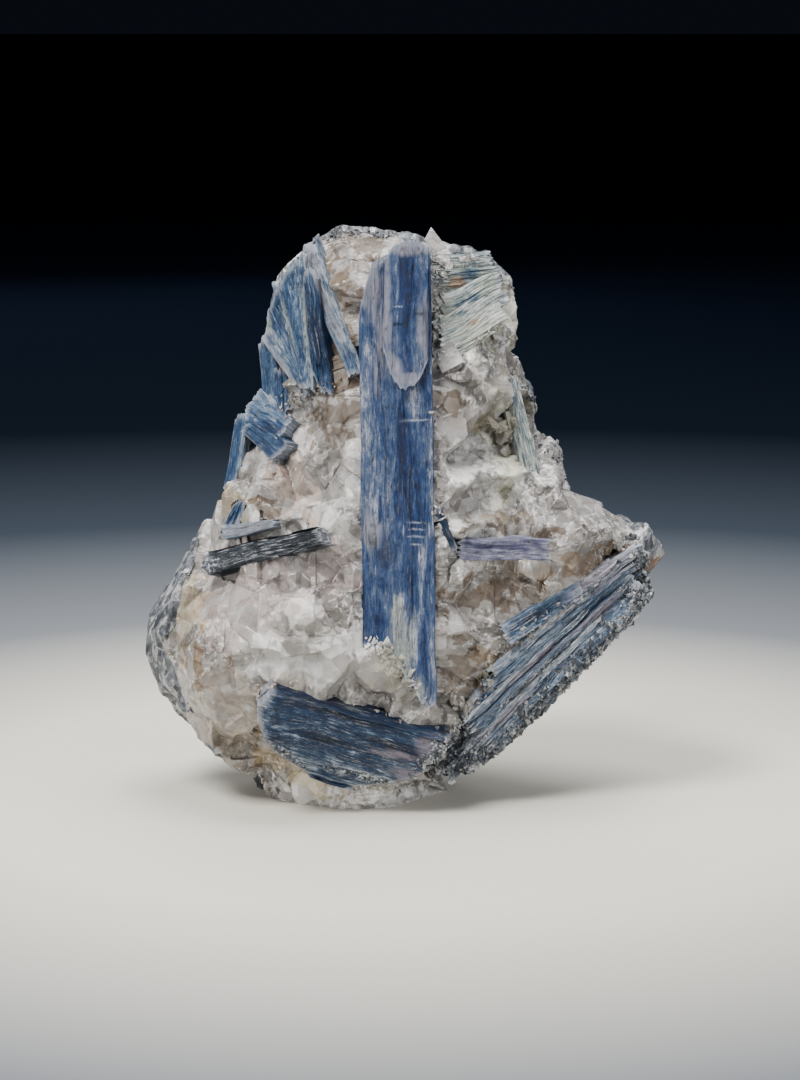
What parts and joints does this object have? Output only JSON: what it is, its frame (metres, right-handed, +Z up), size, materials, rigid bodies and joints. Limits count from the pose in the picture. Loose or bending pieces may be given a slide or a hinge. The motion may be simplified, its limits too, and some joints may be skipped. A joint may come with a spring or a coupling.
{
  "type": "kyanite blade cluster",
  "caption": "Hand-sized mineral specimen: upright blue kyanite blades set in broken milky quartz backed by mica schist, standing on a flat foot.",
  "frame": {"origin": "middle of the flat at the foot that the specimen rests on", "axes": "+Z up along the main blade, -Y out of the face that shows the blades, +X to that face's right"},
  "size_m": [0.0964, 0.0527, 0.1056],
  "materials": {
    "quartz": "milky to smoky quartz, bright on fresh breaks",
    "schist": "dark mica schist, glittering",
    "blue_kyanite": "fibrous blue kyanite, pearly",
    "dark_kyanite": "dark blue-black kyanite, glassy",
    "pale_kyanite": "pale lavender-grey kyanite, pearly"
  },
  "bodies": {
    "root": {"quartz_matrix": "quartz", "schist_rind": "schist", "kyanite_main_blade": "blue_kyanite", "kyanite_lower_blade": "dark_kyanite", "kyanite_left_dark_blade": "dark_kyanite", "kyanite_left_pale_blades": "blue_kyanite", "kyanite_right_small_blade": "pale_kyanite", "kyanite_needle": "dark_kyanite", "kyanite_upper_left_spray": "blue_kyanite", "kyanite_left_edge_blade": "blue_kyanite", "kyanite_left_rim_blade": "blue_kyanite", "kyanite_left_shoulder_blades": "blue_kyanite", "kyanite_upper_right_spray": "pale_kyanite", "kyanite_right_edge_blade": "pale_kyanite", "kyanite_lower_right_bundle": "blue_kyanite", "kyanite_back_blade_1": "blue_kyanite", "kyanite_back_blade_2": "blue_kyanite", "kyanite_back_blade_3": "blue_kyanite"}
  },
  "joints": []
}
